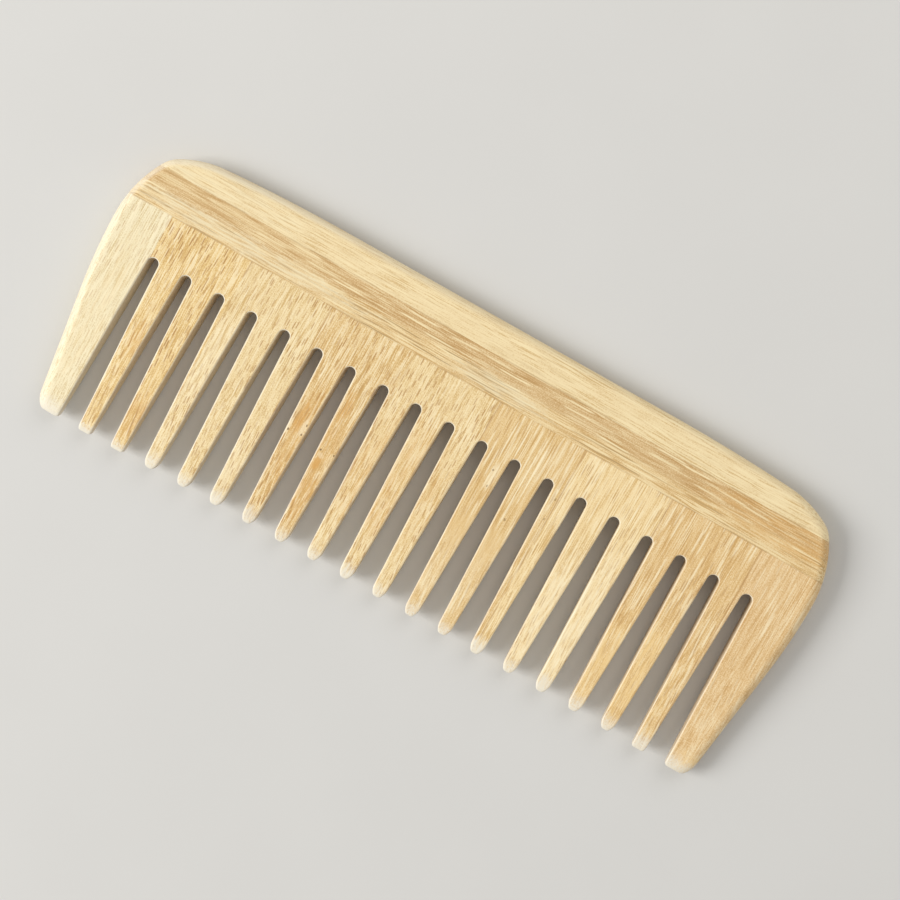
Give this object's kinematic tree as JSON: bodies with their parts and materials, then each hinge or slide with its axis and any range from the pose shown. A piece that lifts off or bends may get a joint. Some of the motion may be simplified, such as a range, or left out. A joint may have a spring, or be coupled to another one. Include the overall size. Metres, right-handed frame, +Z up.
{
  "type": "bamboo comb",
  "caption": "Flat wide-toothed comb glued up from bamboo strips, with a rounded rim, a broad end tooth at each side and teeth that thin towards their tips.",
  "frame": {"origin": "middle of the comb's outline, on the back face that it lies on", "axes": "+X along the comb, +Y from the tips to the spine, +Z up through its thickness"},
  "size_m": [0.1484, 0.0568, 0.0052],
  "materials": {
    "spine_edge_strip": "fine-sanded bamboo, satin, grain along the comb",
    "spine_inner_strip": "fine-sanded bamboo, satin, grain along the comb",
    "tooth_strip_1": "fine-sanded bamboo, satin, grain along the teeth",
    "tooth_strip_2": "fine-sanded bamboo, satin, grain along the teeth",
    "tooth_strip_3": "fine-sanded bamboo, satin, grain along the teeth",
    "tooth_strip_4": "fine-sanded bamboo, satin, grain along the teeth",
    "tooth_strip_5": "fine-sanded bamboo, satin, grain along the teeth",
    "tooth_strip_6": "fine-sanded bamboo, satin, grain along the teeth",
    "tooth_strip_7": "fine-sanded bamboo, satin, grain along the teeth",
    "tooth_strip_8": "fine-sanded bamboo, satin, grain along the teeth",
    "tooth_strip_9": "fine-sanded bamboo, satin, grain along the teeth"
  },
  "bodies": {
    "root": {"spine_edge_strip": "spine_edge_strip", "spine_inner_strip": "spine_inner_strip", "tooth_strip_1": "tooth_strip_1", "tooth_strip_2": "tooth_strip_2", "tooth_strip_3": "tooth_strip_3", "tooth_strip_4": "tooth_strip_4", "tooth_strip_5": "tooth_strip_5", "tooth_strip_6": "tooth_strip_6", "tooth_strip_7": "tooth_strip_7", "tooth_strip_8": "tooth_strip_8", "tooth_strip_9": "tooth_strip_9"}
  },
  "joints": []
}
